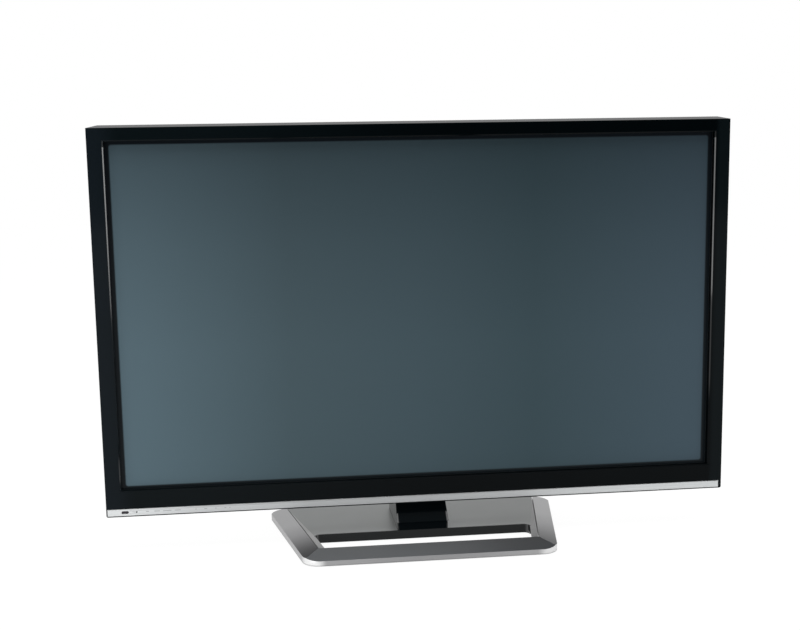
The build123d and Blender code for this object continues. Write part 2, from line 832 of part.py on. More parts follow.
with BuildPart() as cover_screws:
    with BuildSketch(upright(flange_back + screw_head_height)):
        with Locations(*boss_places):
            RegularPolygon(cover_screw_head, screw_sides)
    extrude(amount=screw_head_height)
    with BuildSketch(upright(flange_back)):
        with Locations(*boss_places):
            RegularPolygon(cover_screw_shank, screw_sides)
    extrude(amount=cover_sheet + 3 * boss_radius)
save(cover_screws, "cover_screws")

# Jack tray behind the cut-out, and the sockets that come through its floor
socket_start = tray_left + socket_inset
digital_row = tray_low + tray_height - socket_inset
round_row = tray_low + socket_inset
digital_places = [(socket_start + n * socket_pitch, digital_row) for n in range(digital_socket_count)]
round_places = [(socket_start + n * socket_pitch, round_row) for n in range(round_socket_count)]
with BuildPart() as jack_tray:
    tray_middle = (tray_left + tray_width / 2, tray_low + tray_height / 2)
    with BuildSketch(upright(cover_inside)):
        with Locations(tray_middle):
            Rectangle(tray_width + 2 * tray_flange, tray_height + 2 * tray_flange)
            Rectangle(tray_width, tray_height, mode=Mode.SUBTRACT)
    extrude(amount=tray_wall)
    with BuildSketch(upright(cover_inside)):
        with Locations(tray_middle):
            Rectangle(tray_width + 2 * tray_wall, tray_height + 2 * tray_wall)
            Rectangle(tray_width, tray_height, mode=Mode.SUBTRACT)
    extrude(amount=cover_inside - tray_floor_back + tray_wall)
    with BuildSketch(upright(tray_floor_back)):
        with Locations(tray_middle):
            Rectangle(tray_width + 2 * tray_wall, tray_height + 2 * tray_wall)
        with Locations(*digital_places):
            hole_width = digital_width + 2 * socket_clearance
            Rectangle(hole_width, digital_height + 2 * socket_clearance, mode=Mode.SUBTRACT)
        with Locations(*round_places):
            RegularPolygon(round_socket_radius + socket_clearance, socket_sides, mode=Mode.SUBTRACT)
    extrude(amount=tray_wall)
save(jack_tray, "jack_tray")

socket_back = tray_floor_back + socket_proud
with BuildPart() as digital_sockets:
    with BuildSketch(upright(socket_back)):
        with Locations(*digital_places):
            Rectangle(digital_width, digital_height)
    extrude(amount=socket_back - board_back)
    with BuildSketch(upright(socket_back)):
        with Locations(*digital_places):
            Rectangle(digital_width - 2 * digital_wall, digital_height - 2 * digital_wall)
    extrude(amount=digital_depth - digital_wall, mode=Mode.SUBTRACT)
save(digital_sockets, "digital_sockets")

with BuildPart() as round_sockets:
    with BuildSketch(upright(socket_back)):
        with Locations(*round_places):
            RegularPolygon(round_socket_radius, socket_sides)
    extrude(amount=socket_back - board_back)
    with BuildSketch(upright(socket_back)):
        with Locations(*round_places):
            RegularPolygon(round_socket_bore, screw_sides)
    extrude(amount=digital_depth - digital_wall, mode=Mode.SUBTRACT)
save(round_sockets, "round_sockets")

# Mains inlet: an open box with three flat pins
with BuildPart() as mains_inlet:
    with BuildSketch(upright(head_back)):
        with Locations((inlet_x, inlet_z)):
            Rectangle(inlet_width, inlet_height)
    extrude(amount=inlet_depth)
    with BuildSketch(upright(cover_inside)):
        with Locations((inlet_x, inlet_z)):
            Rectangle(inlet_width + 2 * tray_flange, inlet_height)
    extrude(amount=tray_wall)
    with BuildSketch(upright(head_back)):
        with Locations((inlet_x, inlet_z)):
            Rectangle(inlet_width - 2 * inlet_wall, inlet_height - 2 * inlet_wall)
    extrude(amount=inlet_depth - inlet_wall, mode=Mode.SUBTRACT)
    pin_pitch = inlet_width / 4
    pin_back = head_back - inlet_depth + inlet_wall + inlet_pin_length
    with BuildSketch(upright(pin_back)):
        with Locations(*[(inlet_x + n * pin_pitch, inlet_z + (1 - abs(n)) * inlet_wall) for n in (-1, 0, 1)]):
            Rectangle(inlet_wall, 2 * inlet_wall)
    extrude(amount=inlet_pin_length)
save(mains_inlet, "mains_inlet")

# Stand base: outline in plan, with sides that open towards the back
side_slope = (base_rear_half - base_front_half) / base_depth
bar_across = side_bar_width * (1 + side_slope**2) ** 0.5
inner_front = base_front + front_bar_depth
slot_back = base_front + slot_setback
frame_bottom = foot_height


def outer_half(y):
    """Half the base's width at depth y."""
    return base_front_half + side_slope * (y - base_front)


def inner_half(y):
    """Half the width between the side bars at depth y."""
    return outer_half(y) - bar_across


def trapezoid(front, back, inset, reach=outer_half):
    """Outline between two depths, drawn in from the given sides."""
    near = reach(front) - inset
    far = reach(back) - inset
    Polygon((-near, front), (near, front), (far, back), (-far, back), align=None)


def tilted(point, along, up):
    """Plane through a point that holds two directions; its normal is their cross product."""
    return Plane(origin=point, x_dir=along, z_dir=Vector(*along).cross(Vector(*up)))


# Base frame: sloped tops that meet on a mitre at each front corner
front_slope = (inner_edge_top - front_rim_top) / front_bar_depth
side_fall = (inner_edge_top - side_rim_top) / bar_across
front_top = tilted((0, base_front, front_rim_top), (1, 0, 0), (0, 1, front_slope))
tab_depths = spread(slot_back + tab_width, base_back - 2 * tab_width, tab_pitch)
tab_screw_places = [(side * (inner_half(y) + bar_across / 2), y) for side in (-1, 1) for y in tab_depths]
pocket_half = inner_half(inner_front) - front_corner_radius
pocket_pitch = 2 * pocket_half / front_pockets

with BuildPart() as base_frame:
    with BuildSketch(Plane.XY.offset(frame_bottom)) as frame_plan:
        trapezoid(base_front, base_back, 0)
        fillet(frame_plan.vertices().group_by(Axis.Y)[0], front_corner_radius)
        fillet(frame_plan.vertices().group_by(Axis.Y)[-1], rear_corner_radius)
    extrude(amount=inner_edge_top - frame_bottom)
    split(bisect_by=front_top, keep=Keep.BOTTOM)
    for side in (-1, 1):
        side_top = tilted(
            (side * base_front_half, base_front, side_rim_top),
            (side * side_slope, 1, 0),
            (side, 0, -side_fall),
        )
        split(bisect_by=side_top, keep=Keep.BOTTOM if side_top.z_dir.Z > 0 else Keep.TOP)
    with BuildSketch(Plane.XY):
        trapezoid(inner_front, base_back + groove, 0, inner_half)
    extrude(amount=inner_edge_top + groove, mode=Mode.SUBTRACT)
    # hollow underside with ribs between its pockets
    with BuildSketch(Plane.XY.offset(frame_bottom)):
        with Locations((0, inner_front - front_bar_depth / 2)):
            with GridLocations(pocket_pitch, 0, front_pockets, 1):
                Rectangle(pocket_pitch - frame_wall, front_bar_depth - 2 * frame_wall)
        for x, y in tab_screw_places:
            with Locations(Location((x, y), -degrees(atan(side_slope)) * x / abs(x))):
                Rectangle(side_bar_width - 2 * frame_wall, 2 * tab_width)
    extrude(amount=frame_pocket_top - frame_bottom, mode=Mode.SUBTRACT)
    # notches that let the body's tabs in, and the holes for their screws
    for x, y in tab_screw_places:
        reach = sorted((x, x - x / abs(x) * bar_across))
        across = (y - tab_width / 2 - edge_clearance, y + tab_width / 2 + edge_clearance)
        block(reach, across, (frame_bottom, frame_bottom + tab_sheet + edge_clearance), mode=Mode.SUBTRACT)
    with BuildSketch(Plane.XY.offset(frame_pocket_top)):
        with Locations(*tab_screw_places):
            RegularPolygon(base_screw_radius + trim_clearance, screw_sides)
    extrude(amount=base_screw_bite, mode=Mode.SUBTRACT)
save(base_frame, "base_frame")


# Slot between the front bar and the deck
def slot_half(y):
    """Half the slot's width at depth y."""
    return inner_half(y) - groove - bevel_width


def slot_outline(grow=0.0):
    """The slot's plan, rounded at its back corners and grown by an offset."""
    with BuildSketch(mode=Mode.PRIVATE) as outline:
        trapezoid(inner_front - 2 * groove, slot_back + grow, -grow, slot_half)
        fillet(outline.vertices().group_by(Axis.Y)[-1], slot_corner + grow)
    return outline.sketch


slot_corner_front = slot_back - slot_corner
deck_rise = bevel_drop / (base_back - slot_back)
deck_front_top = inner_edge_top - bevel_drop
deck_top = tilted((0, slot_back, deck_front_top), (1, 0, 0), (0, 1, deck_rise))
deck_under = tilted((0, slot_back, deck_front_top - deck_thickness), (1, 0, 0), (0, 1, deck_rise))
collar_front = slot_back
collar_back = collar_front + neck_depth
swivel_y = (collar_front + collar_back) / 2
seat_screw_offset = seat_side / 2 - seat_screw_inset
seat_screw_depths = (swivel_y - seat_screw_offset, swivel_y + seat_screw_offset)
seat_screw_places = [(side * seat_screw_offset, y) for side in (-1, 1) for y in seat_screw_depths]

# Black lower body: floor, walls, the slot's glossy wall, the neck's pedestal and the tabs
with BuildPart() as base_body:
    with BuildSketch(Plane.XY.offset(frame_bottom)):
        trapezoid(slot_corner_front, base_back - groove, groove, inner_half)
    extrude(amount=inner_edge_top)
    with BuildSketch(Plane.XY.offset(frame_bottom + body_floor)):
        trapezoid(slot_corner_front, base_back - groove - body_wall, groove + body_wall, inner_half)
    extrude(amount=inner_edge_top, mode=Mode.SUBTRACT)
    split(bisect_by=deck_under, keep=Keep.BOTTOM)
    with BuildSketch(Plane.XY.offset(frame_bottom)):
        add(slot_outline(body_wall))
        with Locations((0, slot_corner_front)):
            Rectangle(2 * base_rear_half, base_depth, align=(Align.CENTER, Align.MAX), mode=Mode.SUBTRACT)
    extrude(amount=deck_front_top - frame_bottom)
    block((-neck_width / 2, neck_width / 2), (collar_front, collar_back), (frame_bottom, deck_front_top))
    with BuildSketch(Plane.XY.offset(frame_bottom)):
        with Locations((0, swivel_y)):
            Rectangle(neck_width - 2 * body_wall, neck_depth - 2 * body_wall)
    extrude(amount=deck_front_top - frame_bottom - seat_plate, mode=Mode.SUBTRACT)
    with BuildSketch(Plane.XY):
        with Locations(*seat_screw_places):
            RegularPolygon(seat_screw_radius + trim_clearance, screw_sides)
    extrude(amount=deck_front_top, mode=Mode.SUBTRACT)
    with BuildSketch(Plane.XY.offset(frame_bottom)):
        add(slot_outline())
    extrude(amount=inner_edge_top, mode=Mode.SUBTRACT)
    for x, y in tab_screw_places:
        reach = sorted((x + x / abs(x) * tab_width / 2, x - x / abs(x) * (bar_across / 2 + 2 * body_wall)))
        block(reach, (y - tab_width / 2, y + tab_width / 2), (frame_bottom, frame_bottom + tab_sheet))
    with BuildSketch(Plane.XY.offset(frame_bottom)):
        with Locations(*tab_screw_places):
            RegularPolygon(base_screw_radius + trim_clearance, screw_sides)
    extrude(amount=tab_sheet, mode=Mode.SUBTRACT)
save(base_body, "base_body")

# Dished deck: the middle rises towards the back, the sides are bevelled up to the bars
with BuildPart() as deck_dish:
    block((-base_rear_half, base_rear_half), (base_front, base_back + groove), (0, 2 * inner_edge_top))
    split(bisect_by=deck_top, keep=Keep.TOP)
    for side in (-1, 1):
        bevel_top = tilted(
            (side * inner_half(0), 0, inner_edge_top),
            (side * side_slope, 1, 0),
            (side, 0, bevel_drop / bevel_width),
        )
        split(bisect_by=bevel_top, keep=Keep.TOP if bevel_top.z_dir.Z > 0 else Keep.BOTTOM)

with BuildPart() as base_deck:
    with BuildSketch(Plane.XY):
        trapezoid(inner_front + groove, base_back - groove, groove, inner_half)
    extrude(amount=inner_edge_top)
    split(bisect_by=deck_under, keep=Keep.TOP)
    add(deck_dish.part, mode=Mode.SUBTRACT)
    with BuildSketch(Plane.XY):
        add(slot_outline(body_wall + trim_clearance))
        with Locations((0, slot_corner_front)):
            Rectangle(2 * base_rear_half, base_depth, align=(Align.CENTER, Align.MAX), mode=Mode.SUBTRACT)
        add(slot_outline())
        with Locations((0, swivel_y)):
            Rectangle(neck_width + 2 * trim_clearance, neck_depth + 2 * trim_clearance)
    extrude(amount=2 * inner_edge_top, mode=Mode.SUBTRACT)
save(base_deck, "base_deck")

weight_near = neck_width / 2 + weight_gap
weight_far = inner_half(slot_back) - groove - body_wall - weight_gap
with BuildPart() as base_weights:
    for side in (-1, 1):
        block(
            sorted((side * weight_near, side * weight_far)),
            (slot_back + body_wall + weight_gap, base_back - groove - body_wall - weight_gap),
            (frame_bottom + body_floor, frame_bottom + body_floor + weight_plate),
        )
save(base_weights, "base_weights")

with BuildPart() as base_screws:
    with BuildSketch(Plane.XY.offset(frame_bottom)):
        with Locations(*tab_screw_places):
            RegularPolygon(base_screw_head, screw_sides)
    extrude(amount=-screw_head_height / 2)
    with BuildSketch(Plane.XY.offset(frame_bottom)):
        with Locations(*tab_screw_places):
            RegularPolygon(base_screw_radius, screw_sides)
    extrude(amount=frame_pocket_top - frame_bottom + base_screw_bite / 2)
save(base_screws, "base_screws")

# Rubber feet under the corners and the middle of each side bar
front_foot = (base_front_half - front_corner_radius + foot_radius, base_front + 2 * foot_radius)
rear_foot_y = base_back - foot_radius - groove
middle_foot_y = (inner_front + slot_corner_front) / 2
foot_places = [front_foot, *[(outer_half(y) - bar_across / 2, y) for y in (middle_foot_y, rear_foot_y)]]
with BuildPart() as rubber_feet:
    with BuildSketch(Plane.XY):
        with Locations(*[(side * x, y) for x, y in foot_places for side in (-1, 1)]):
            RegularPolygon(foot_radius, foot_sides)
    extrude(amount=foot_height)
    chamfer(rubber_feet.faces().sort_by(Axis.Z)[: 2 * len(foot_places)].edges(), foot_height / 4)
save(rubber_feet, "rubber_feet")

# Collar round the swivel, with a screw boss in each corner
with BuildPart() as neck_collar:
    with BuildSketch(Plane.XY.offset(deck_front_top)):
        with Locations((0, swivel_y)):
            RectangleRounded(neck_width, neck_depth, neck_wall)
            Rectangle(neck_width - 2 * neck_wall, neck_depth - 2 * neck_wall, mode=Mode.SUBTRACT)
            with GridLocations(neck_width - 4 * neck_wall, neck_depth - 4 * neck_wall, 2, 2):
                RegularPolygon(collar_boss_radius, screw_sides)
                RegularPolygon(boss_bore, screw_sides, mode=Mode.SUBTRACT)
    extrude(amount=seam_height - deck_front_top)
save(neck_collar, "neck_collar")

# Swivel: seat plate and hub, washer, turning plate with its post, retaining ring
seat_top = deck_front_top + seat_plate
turn_bottom = seat_top + washer_thickness + swivel_clearance
turn_top = turn_bottom + swivel_plate
ring_bottom = turn_top + swivel_clearance
with BuildPart() as swivel_seat:
    with BuildSketch(Plane.XY.offset(deck_front_top)):
        with Locations((0, swivel_y)):
            Rectangle(seat_side, seat_side)
            Circle(hub_bore, mode=Mode.SUBTRACT)
        with Locations(*seat_screw_places):
            RegularPolygon(seat_screw_radius + trim_clearance, screw_sides, mode=Mode.SUBTRACT)
        stop_start = stop_bearing - swivel_limit
        stop_arc = CenterArc((0, swivel_y), stop_circle, stop_start, 2 * swivel_limit, mode=Mode.PRIVATE)
        SlotArc(stop_arc, 2 * (stop_radius + stop_clearance), mode=Mode.SUBTRACT)
    extrude(amount=seat_plate)
    with BuildSketch(Plane.XY.offset(seat_top)):
        with Locations((0, swivel_y)):
            Circle(hub_radius)
            Circle(hub_bore, mode=Mode.SUBTRACT)
    extrude(amount=ring_bottom + ring_height - seat_top)
save(swivel_seat, "swivel_seat")

with BuildPart() as swivel_washer:
    with BuildSketch(Plane.XY.offset(seat_top)):
        with Locations((0, swivel_y)):
            RegularPolygon(washer_radius, washer_sides)
            Circle(hub_radius + swivel_clearance, mode=Mode.SUBTRACT)
    extrude(amount=washer_thickness)
save(swivel_washer, "swivel_washer")

with BuildPart() as retaining_ring:
    with BuildSketch(Plane.XY.offset(ring_bottom)):
        with Locations((0, swivel_y)):
            RegularPolygon(ring_radius, ring_sides)
            Circle(hub_radius + swivel_clearance, mode=Mode.SUBTRACT)
    extrude(amount=ring_height)
save(retaining_ring, "retaining_ring")

with BuildPart() as seat_screws:
    with BuildSketch(Plane.XY.offset(seat_top)):
        with Locations(*seat_screw_places):
            RegularPolygon(2 * seat_screw_radius, screw_sides)
    extrude(amount=screw_head_height)
    with BuildSketch(Plane.XY.offset(seat_top)):
        with Locations(*seat_screw_places):
            RegularPolygon(seat_screw_radius, screw_sides)
    extrude(amount=-2 * seat_plate)
save(seat_screws, "seat_screws")

riser_back = riser_front + riser_depth
riser_high = head_bottom + riser_top
with BuildPart() as neck_post:
    with BuildSketch(Plane.XY.offset(turn_bottom)):
        with Locations((0, swivel_y)):
            RegularPolygon(swivel_plate_radius, washer_sides)
            Circle(hub_radius + swivel_clearance, mode=Mode.SUBTRACT)
    extrude(amount=swivel_plate)
    with BuildSketch(Plane.XY.offset(deck_front_top + stop_clearance)):
        with Locations((0, swivel_y + stop_circle)):
            Circle(stop_radius)
    extrude(amount=turn_bottom - deck_front_top - stop_clearance)
    block((-riser_width / 2, riser_width / 2), (riser_front, riser_back), (turn_top, riser_high))
    block(
        (riser_wall - riser_width / 2, riser_width / 2 - riser_wall),
        (riser_front + riser_wall, riser_back - riser_wall),
        (turn_top + riser_wall, riser_high),
        mode=Mode.SUBTRACT,
    )
    # gussets brace the riser on the turning plate
    for side in (-1, 1):
        with BuildSketch(Plane.YZ.offset(side * (riser_width / 2 - 2 * riser_wall) - gusset_sheet / 2)):
            foot = (riser_back + gusset_height, turn_top)
            Polygon((riser_back, turn_top), foot, (riser_back, turn_top + gusset_height), align=None)
        extrude(amount=gusset_sheet)
    with BuildSketch(upright(riser_back)):
        with Locations(*neck_screw_places):
            RegularPolygon(neck_screw_radius + swivel_clearance, screw_sides)
    extrude(amount=riser_depth, mode=Mode.SUBTRACT)
save(neck_post, "neck_post")

with BuildPart() as neck_screws:
    with BuildSketch(upright(riser_back + neck_screw_radius)):
        with Locations(*neck_screw_places):
            RegularPolygon(neck_screw_head, mount_boss_sides)
            RegularPolygon(neck_screw_radius, ring_sides, mode=Mode.SUBTRACT)
    extrude(amount=neck_screw_radius)
    with BuildSketch(upright(riser_back)):
        with Locations(*neck_screw_places):
            RegularPolygon(neck_screw_radius, screw_sides)
    extrude(amount=riser_depth + bracket_sheet + circuit_board)
save(neck_screws, "neck_screws")

# Shroud: leans back from the collar to the head, then rises behind the bezel
shroud_bottom = seam_height + seam_gap
shroud_front = collar_front - shroud_overhang
shroud_back = collar_back + shroud_overhang
shroud_high = head_bottom + pan_inset
shroud_top_front = head_front + shroud_behind_face
shroud_top_back = shroud_top_front + shroud_top_depth


def shroud_profile(low_start, low_end, high_start, high_end, inset):
    """The shroud's outline from one side: a leaning foot with an upright head on it."""
    Polygon(
        (low_start + inset, shroud_bottom),
        (low_end - inset, shroud_bottom),
        (high_end - inset, head_bottom),
        (high_end - inset, shroud_high - inset),
        (high_start + inset, shroud_high - inset),
        (high_start + inset, head_bottom),
        align=None,
    )


def shroud_skin(inset):
    """The shroud's outer or inner surface as a solid: its side view crossed with its front view."""
    low_half = neck_width / 2 + shroud_overhang
    high_half = shroud_top_width / 2
    with BuildPart(mode=Mode.PRIVATE) as skin:
        with BuildSketch(Plane.YZ):
            shroud_profile(shroud_front, shroud_back, shroud_top_front, shroud_top_back, inset)
        extrude(amount=low_half, both=True)
        with BuildSketch(upright(shroud_front)):
            shroud_profile(-low_half, low_half, -high_half, high_half, inset)
        extrude(amount=shroud_front - shroud_back, mode=Mode.INTERSECT)
    return skin


with BuildPart() as neck_shroud:
    add(shroud_skin(0).part)
    add(shroud_skin(shroud_wall).part, mode=Mode.SUBTRACT)
    block(
        (-riser_width / 2 - riser_fit, riser_width / 2 + riser_fit),
        (riser_front - riser_fit, riser_back + riser_fit),
        (shroud_high - 2 * shroud_wall, shroud_high),
        mode=Mode.SUBTRACT,
    )
save(neck_shroud, "neck_shroud")
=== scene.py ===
import bpy
import bmesh
import json
import math
from mathutils import Matrix, Vector


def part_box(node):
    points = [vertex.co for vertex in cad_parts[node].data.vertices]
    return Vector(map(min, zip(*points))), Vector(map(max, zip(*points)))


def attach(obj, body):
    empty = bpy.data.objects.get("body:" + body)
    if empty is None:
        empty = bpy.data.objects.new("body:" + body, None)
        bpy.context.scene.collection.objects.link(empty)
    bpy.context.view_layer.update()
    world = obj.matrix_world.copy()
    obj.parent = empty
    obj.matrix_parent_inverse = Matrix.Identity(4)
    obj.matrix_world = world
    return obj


# A flat plasma television on a swivel stand, dressed round its fixed frame, in metres.
# +X is to the right of someone who looks at the screen, +Y is away from them.
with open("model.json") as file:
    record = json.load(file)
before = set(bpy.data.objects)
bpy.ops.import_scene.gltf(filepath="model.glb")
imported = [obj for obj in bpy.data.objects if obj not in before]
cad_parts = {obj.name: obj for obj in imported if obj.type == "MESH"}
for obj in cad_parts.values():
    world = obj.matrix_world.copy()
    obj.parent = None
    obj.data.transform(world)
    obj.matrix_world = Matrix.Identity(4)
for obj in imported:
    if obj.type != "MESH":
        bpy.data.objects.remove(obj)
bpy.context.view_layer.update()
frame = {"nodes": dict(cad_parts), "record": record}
nodes = frame["nodes"]
scene = bpy.context.scene
mm = 0.001


# Places read from the frame
head_low, head_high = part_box("front_bezel")
gasket_low, gasket_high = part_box("glass_gasket")
strip_low, strip_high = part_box("trim_strip")
shroud_low, shroud_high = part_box("neck_shroud")
neck_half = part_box("neck_collar")[1].x
socket_low, socket_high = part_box("round_sockets")
body_low, body_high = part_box("base_body")
stand_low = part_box("base_frame")[0]
front_line = stand_low.y + 0.5 * mm
front_half = max(point.co.x for point in nodes["base_frame"].data.vertices if point.co.y < front_line)


# The crown and the window of the bezel, and the lit area of the screen
crown_rise = 5.0 * mm
lip_wall = 2.0 * mm
lip_cut = 1.8 * mm
left_border = 6.5 * mm
right_border = 6.9 * mm
level_border = 4.6 * mm
soft_edge = 3.2 * mm
lit_rounding = 6.0 * mm
window_right = gasket_high.x - lip_wall
window_centre = (gasket_low.z + gasket_high.z) / 2
window_rise = (gasket_high.z - gasket_low.z) / 2 - lip_wall
window_foot = window_centre - window_rise
lit_left = left_border - window_right
lit_right = window_right - right_border
lit_low = window_foot + level_border
lit_high = window_centre + window_rise - level_border


# Shader arithmetic
class Wire:
    """An output of a shader node; formulas on it add their Math nodes."""

    def __init__(self, finish, socket):
        self.finish = finish
        self.socket = socket

    def __add__(self, other):
        return self.finish.math("ADD", self, other)

    __radd__ = __add__

    def __mul__(self, other):
        return self.finish.math("MULTIPLY", self, other)

    __rmul__ = __mul__

    def __sub__(self, other):
        return self.finish.math("SUBTRACT", self, other)

    def __rsub__(self, other):
        return self.finish.math("SUBTRACT", other, self)

    def __truediv__(self, other):
        return self.finish.math("DIVIDE", self, other)

    def __pow__(self, other):
        return self.finish.math("POWER", self, other)

    def at_least(self, least):
        return self.finish.math("MAXIMUM", self, least)

    def clamped(self):
        return self.finish.math("MINIMUM", self, 1.0).at_least(0.0)

    def size(self):
        return self.finish.math("ABSOLUTE", self)


class Finish:
    """A node tree under construction, for a material or the world."""

    def __init__(self, owner):
        owner.use_nodes = True
        self.owner = owner
        self.tree = owner.node_tree
        self.tree.nodes.clear()

    def node(self, kind, settings=None, sockets=None):
        """Add a node, set its settings, then fill its sockets with values or wires."""
        made = self.tree.nodes.new(kind)
        for key, value in (settings or {}).items():
            if key == "stops":
                self.fill_ramp(made.color_ramp, value)
            elif key == "between_stops":
                made.color_ramp.interpolation = value
            else:
                setattr(made, key, value)
        for key, value in (sockets or {}).items():
            if isinstance(value, Wire):
                self.tree.links.new(value.socket, made.inputs[key])
            else:
                made.inputs[key].default_value = value
        return made

    def fill_ramp(self, ramp, stops):
        """Replace the stops of a new ramp by these places and colours."""
        while len(ramp.elements) > 1:
            ramp.elements.remove(ramp.elements[-1])
        ramp.elements[0].position, ramp.elements[0].color = stops[0]
        for place, colour in stops[1:]:
            ramp.elements.new(place).color = colour

    def wire(self, kind, settings=None, sockets=None, out=0):
        """Add a node and take one of its outputs."""
        return Wire(self, self.node(kind, settings, sockets).outputs[out])

    def math(self, operation, *values):
        return self.wire("ShaderNodeMath", {"operation": operation}, dict(enumerate(values)))

    def place(self):
        """The place of a point of the surface, in the frame's metres."""
        return self.wire("ShaderNodeTexCoord", out="Object")

    def parts(self, vector):
        """The three numbers of a vector."""
        split = self.node("ShaderNodeSeparateXYZ", sockets={0: vector})
        return [Wire(self, split.outputs[n]) for n in range(3)]

    def axes(self):
        """The three coordinates of a point of the surface."""
        return self.parts(self.place())

    def facing(self):
        """How far the surface faces along each axis, without its sign."""
        return [part.size() for part in self.parts(self.wire("ShaderNodeNewGeometry", out="Normal"))]

    def rays(self, *kinds):
        """For each kind of ray, one where such a ray arrives and nothing for others."""
        path = self.node("ShaderNodeLightPath")
        return [Wire(self, path.outputs[f"Is {kind} Ray"]) for kind in kinds]

    def stretched(self, x, y, z):
        """Places scaled along each axis, for grain that runs one way."""
        scaled = {"operation": "MULTIPLY"}
        return self.wire("ShaderNodeVectorMath", scaled, {0: self.place(), 1: (x, y, z)})

    def noise(self, vector, scale=1.0, detail=2.0, roughness=0.5):
        sockets = {"Vector": vector, "Scale": scale, "Detail": detail, "Roughness": roughness}
        return self.wire("ShaderNodeTexNoise", None, sockets, out="Fac")

    def step(self, value, low, high, start=0.0, end=1.0):
        """Smooth change from start to end as a value goes from low to high."""
        sockets = {"Value": value, "From Min": low, "From Max": high, "To Min": start, "To Max": end}
        return self.wire("ShaderNodeMapRange", {"interpolation_type": "SMOOTHSTEP"}, sockets)

    def fade(self, value, low, high):
        """Smooth change from one to nothing as a value goes from low to high."""
        return self.step(value, low, high, 1.0, 0.0)

    def band(self, value, rise, fall):
        """One between two soft edges, each given by the values at which it starts and ends."""
        return self.step(value, *rise) * self.fade(value, *fall)

    def by_side(self, x, left, right):
        """One value left of the middle and another one right of it."""
        return self.step(x, -10 * mm, 10 * mm, left, right)

    def blend(self, share, first, second, kind="MIX"):
        """Mix two colours or colour wires, or multiply them."""
        settings = {"data_type": "RGBA", "blend_type": kind}
        return self.wire("ShaderNodeMix", settings, {0: share, 6: first, 7: second}, out=2)

    def ramp(self, share, stops, between="LINEAR"):
        """Colours along a share, given as places and colours."""
        return self.wire("ShaderNodeValToRGB", {"stops": stops, "between_stops": between}, {0: share})

    def bump(self, height, strength, distance):
        sockets = {"Height": height, "Strength": strength, "Distance": distance}
        return self.wire("ShaderNodeBump", None, sockets)

    def surface(self, shader):
        output = self.node("ShaderNodeOutputMaterial")
        self.tree.links.new(shader.outputs[0], output.inputs["Surface"])

    def coat(self, **sockets):
        """The main shader, with its sockets named by words joined with underscores."""
        named = {key.replace("_", " "): value for key, value in sockets.items()}
        self.surface(self.node("ShaderNodeBsdfPrincipled", None, {"IOR": 1.5, **named}))
        return self.owner


def shade(level):
    """A grey of a linear level."""
    return (level, level, level, 1.0)


def new_finish(name):
    return Finish(bpy.data.materials.new(name))


def wear(finish, *pieces):
    """Give a finish to frame nodes, which are named, or to pieces made here."""
    for piece in pieces:
        target = nodes[piece] if isinstance(piece, str) else piece
        target.data.materials.clear()
        target.data.materials.append(finish)


# Finishes of the head's front
def bezel_gloss():
    """Gloss black moulding, with a clearer skin on the lip and along the top edge, a painted reflection
    that lightens its left bar and painted shade on its right part beside the window.
    """
    make = new_finish("bezel_gloss")
    x, _, z = make.axes()
    haze = make.noise(make.place(), scale=9.0, detail=4.0)
    ripple = make.noise(make.place(), scale=60.0, detail=1.0)

    # the lip's cut front corner shines at both sides, over heights from -1 to 1 up the window
    lip_right = window_right + lip_cut
    lip_edges = (window_right - 0.4 * mm, window_right), (lip_right, lip_right + 0.2 * mm)
    lip_side = make.band(x.size(), *lip_edges)
    height = (z - window_centre) / window_rise
    right = make.step(x, -1 * mm, 1 * mm)
    shine_left = make.step(height, -0.25, 0.8) + 0.7 * make.band(height, (-0.97, -0.92), (-0.86, -0.76))
    shine_right = make.step(height, -0.62, -0.45, 0.0, 0.75)
    shine = (shine_left * (1 - right) + shine_right * right) * make.fade(height, 0.965, 0.97)
    lip_foot = window_foot - lip_cut
    low_lip = make.band(z, (lip_foot - 0.3 * mm, lip_foot), (window_foot, window_foot + 0.5 * mm))

    # the sloping crown shines less towards the right
    crown_foot = head_high.z - crown_rise
    crown = make.step(z, crown_foot, crown_foot + 0.3 * mm)
    crown_shine = make.step(x, 0.5 * head_low.x, 0.9 * head_high.x, 0.14, 0.06)

    # painted reflection: the left bar is painted a lighter bluish black; painted shade: right of the
    # middle and beside the window's right edge the black is painted darker
    left_bar_reflection = make.fade(x, head_low.x + 10 * mm, 30 * mm - window_right)
    inner_right_shade = make.step(x, -500 * mm, 100 * mm) * make.fade(x, window_right, window_right + 12 * mm)
    tone = make.blend(inner_right_shade, (0.0026, 0.0048, 0.0058, 1), (0.0003, 0.0013, 0.0018, 1))
    return make.coat(
        Base_Color=make.blend(left_bar_reflection, tone, (0.0055, 0.0085, 0.0112, 1)),
        Roughness=0.07 + haze * 0.06 + low_lip * 0.5,
        Specular_IOR_Level=0.065,
        Coat_Weight=(lip_side * shine + crown * crown_shine).clamped(),
        Coat_Roughness=0.06,
        Normal=make.bump(ripple, 0.02, 0.001),
    )


# Plain dashes over the touch keys, as starts and ends in millimetres from the strip's left end
key_dashes = [(70, 75), (85, 95), (101, 116), (122, 133), (159.5, 162), (176, 181), (196, 198.5),
              (213, 216), (222, 224)]
dash_level = (strip_low.z + strip_high.z) / 2 + 0.3 * mm
ink_edge = 0.2
ink_spread = 0.3


def key_marks(make):
    """Share of ink of the dashes over the touch keys."""
    x, _, z = make.axes()
    along = (x - strip_low.x) / mm
    dashes = 0.0
    for start, end in key_dashes:
        rise = (start - ink_spread, start + ink_edge)
        fall = (end - ink_edge, end + ink_spread)
        dashes += make.band(along, rise, fall)
    return (dashes * make.fade((z - dash_level).size(), 0.5 * mm, 1.0 * mm)).clamped()


